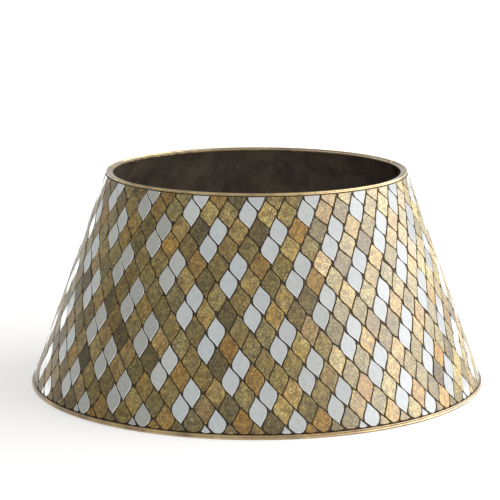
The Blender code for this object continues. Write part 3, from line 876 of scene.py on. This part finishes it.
def top_rim(half, look):
    """A slim roll round the opening with a fine fillet under it, and the ledge over the wall's edge."""
    outer = TOP_RADIUS - RIM_MARGIN
    inner = FACE_TOP_RADIUS - LEG_INNER / math.cos(LEAN)
    underside = COLLAR_HEIGHT - TOP_BEAD_HEIGHT
    ledge = underside + TOP_LEDGE_THICKNESS
    fillet = outer - TOP_FILLET_RADIUS - TOP_FILLET_SETBACK
    profile = [(inner, ledge), (inner, underside)]
    profile += roll(TOP_FILLET_RADIUS, fillet, underside + TOP_FILLET_RADIUS, TOP_FILLET_SPAN)
    profile += roll(TOP_ROLL_RADIUS, outer - TOP_ROLL_RADIUS, COLLAR_HEIGHT - TOP_ROLL_RADIUS, TOP_ROLL_SPAN)
    swept(half + "_top_roll", half, profile, look, 0, half + "_top_rim")


def finish_ironwork(looks):
    """Looks on the CAD's own solids that show: edge angles, hinges, rivets, pins, studs and hooks."""
    for name, node in frame["nodes"].items():
        for word, look in IRONWORK.items():
            if word in name:
                node.data.materials.clear()
                node.data.materials.append(looks[look])
                break


# Camera, floor and light


def add_camera():
    data = bpy.data.cameras.new("photo_camera")
    data.sensor_width = SENSOR_WIDTH
    data.lens = FOCAL_PIXELS / PHOTO_SIZE * SENSOR_WIDTH
    data.shift_x = -(AXIS_COLUMN - PHOTO_SIZE / 2) / PHOTO_SIZE
    data.clip_start, data.clip_end = CAMERA_REACH
    thing = bpy.data.objects.new("photo_camera", data)
    bpy.context.scene.collection.objects.link(thing)
    thing.location = CAMERA_PLACE
    thing.rotation_euler = (math.pi / 2 - CAMERA_PITCH, 0, 0)
    bpy.context.scene.camera = thing


def seen_directly(tree):
    """1 where the camera, a reflection or something seen through glass looks at it, and 0 for its light."""
    path = add(tree, "ShaderNodeLightPath").outputs
    seen = maths(tree, "MAXIMUM", path["Is Camera Ray"], path["Is Glossy Ray"])
    return maths(tree, "MAXIMUM", seen, path["Is Transmission Ray"])


def add_floor():
    """A floor that is white farther out and keeps the shadow near the collar."""
    made, tree, shader = new_material("pale_floor")
    away = add(tree, "ShaderNodeVectorMath", operation="LENGTH")
    feed(tree, away.inputs[0], coordinates(tree))
    lift = map_range(tree, away.outputs["Value"], FLOOR_LIFT_REACH, FLOOR_LIFT)
    feed_all(tree, shader, {
        "Base Color": (FLOOR_SHADE, FLOOR_SHADE, FLOOR_SHADE),
        "Roughness": FLOOR_ROUGHNESS,
        "Emission Color": WHITE,
        "Emission Strength": maths(tree, "MULTIPLY", seen_directly(tree), lift),
    })
    corners = [(x * FLOOR_REACH, y * FLOOR_REACH, 0) for x, y in ((-1, -1), (1, -1), (1, 1), (-1, 1))]
    mesh = bpy.data.meshes.new("floor")
    mesh.from_pydata(corners, [], [(0, 1, 2, 3)])
    thing = link("floor", mesh, made)


def add_world():
    """The graded room that lights the collar and shows in its mirrors, and plain white for the camera."""
    world = bpy.data.worlds.new("studio")
    world.use_nodes = True
    tree = world.node_tree
    tree.nodes.clear()
    path = add(tree, "ShaderNodeLightPath").outputs
    towards = add(tree, "ShaderNodeVectorMath", operation="DOT_PRODUCT")
    feed(tree, towards.inputs[0], add(tree, "ShaderNodeTexCoord").outputs["Generated"])
    towards.inputs[1].default_value = ROOM_BRIGHT_SIDE
    across = map_range(tree, towards.outputs["Value"], (-1, 1), (0, 1))
    grey = ramp(tree, across, [(share, (level / ROOM_PEAK,) * 3) for share, level in ROOM_LEVELS])
    dull, sheen = ramp(tree, across, ROOM_TINT), ramp(tree, across, ROOM_SHEEN)
    room = add(tree, "ShaderNodeBackground")
    feed_all(tree, room, {
        "Color": tinted(tree, grey, mix(tree, path["Is Diffuse Ray"], sheen, dull)),
        "Strength": map_range(tree, path["Is Diffuse Ray"], (0, 1), (ROOM_PEAK, ROOM_PEAK * AMBIENT)),
    })
    backdrop = add(tree, "ShaderNodeBackground")
    feed_all(tree, backdrop, {"Color": WHITE, "Strength": 1.0})
    both = add(tree, "ShaderNodeMixShader")
    for index, value in enumerate((path["Is Camera Ray"], room.outputs[0], backdrop.outputs[0])):
        feed(tree, both.inputs[index], value)
    feed(tree, add(tree, "ShaderNodeOutputWorld").inputs["Surface"], both.outputs[0])
    bpy.context.scene.world = world


def add_window():
    """The softbox, which lights everything but the mirror tiles: those would show it as one white patch."""
    data = bpy.data.lights.new("window", "AREA")
    data.shape = "RECTANGLE"
    data.size, data.size_y = WINDOW_SIZE
    data.energy = WINDOW_POWER
    data.color = WINDOW_COLOUR
    thing = bpy.data.objects.new("window", data)
    bpy.context.scene.collection.objects.link(thing)
    thing.location = WINDOW_PLACE
    towards = Vector(WINDOW_TARGET) - Vector(WINDOW_PLACE)
    thing.rotation_euler = towards.to_track_quat("-Z", "Y").to_euler()
    receivers = bpy.data.collections.new("window_receivers")
    for lit in bpy.context.scene.objects:
        if lit.type == "MESH" and "mirror" not in lit.name:
            receivers.objects.link(lit)
    thing.light_linking.receiver_collection = receivers


def build():
    bpy.context.scene.view_settings.view_transform = "Standard"
    add_camera()
    add_floor()
    add_world()
    glass = {
        "mirror": mirror_glass(),
        "tan": foil_glass("tan_glass", vein_share=0.80, mottle=0.34),
        "olive": foil_glass("olive_glass", vein_share=1.0, mottle=0.38),
    }
    gilt = {"roughness": (0.25, 0.45), "grain": 28, "lacquer": 1.0}
    looks = {
        "gold": metal("gold_rim", GOLD, **gilt),
        # The base rim's gold carries painted shade at its foot, in its groove and under the tiles
        "base_gold_painted_shade": metal("base_gold_painted_shade", GOLD, painted_shade=BASE_PAINTED_SHADE, **gilt),
        "iron": metal("bronzed_iron", IRON, (0.42, 0.62), grain=30, unevenness=0.2, metallic=0.7),
        "brass": metal("aged_brass", BRASS, (0.3, 0.5), grain=60),
        "steel": metal("rivet_steel", STEEL, (0.3, 0.45), grain=90),
    }
    grout_look = grout_material()
    for half in HALVES:
        tiles(half, glass)
        grout(half, grout_look)
        wall(half, looks["iron"])
        base_rim(half, looks["base_gold_painted_shade"])
        top_rim(half, looks["gold"])
    finish_ironwork(looks)
    add_window()


build()
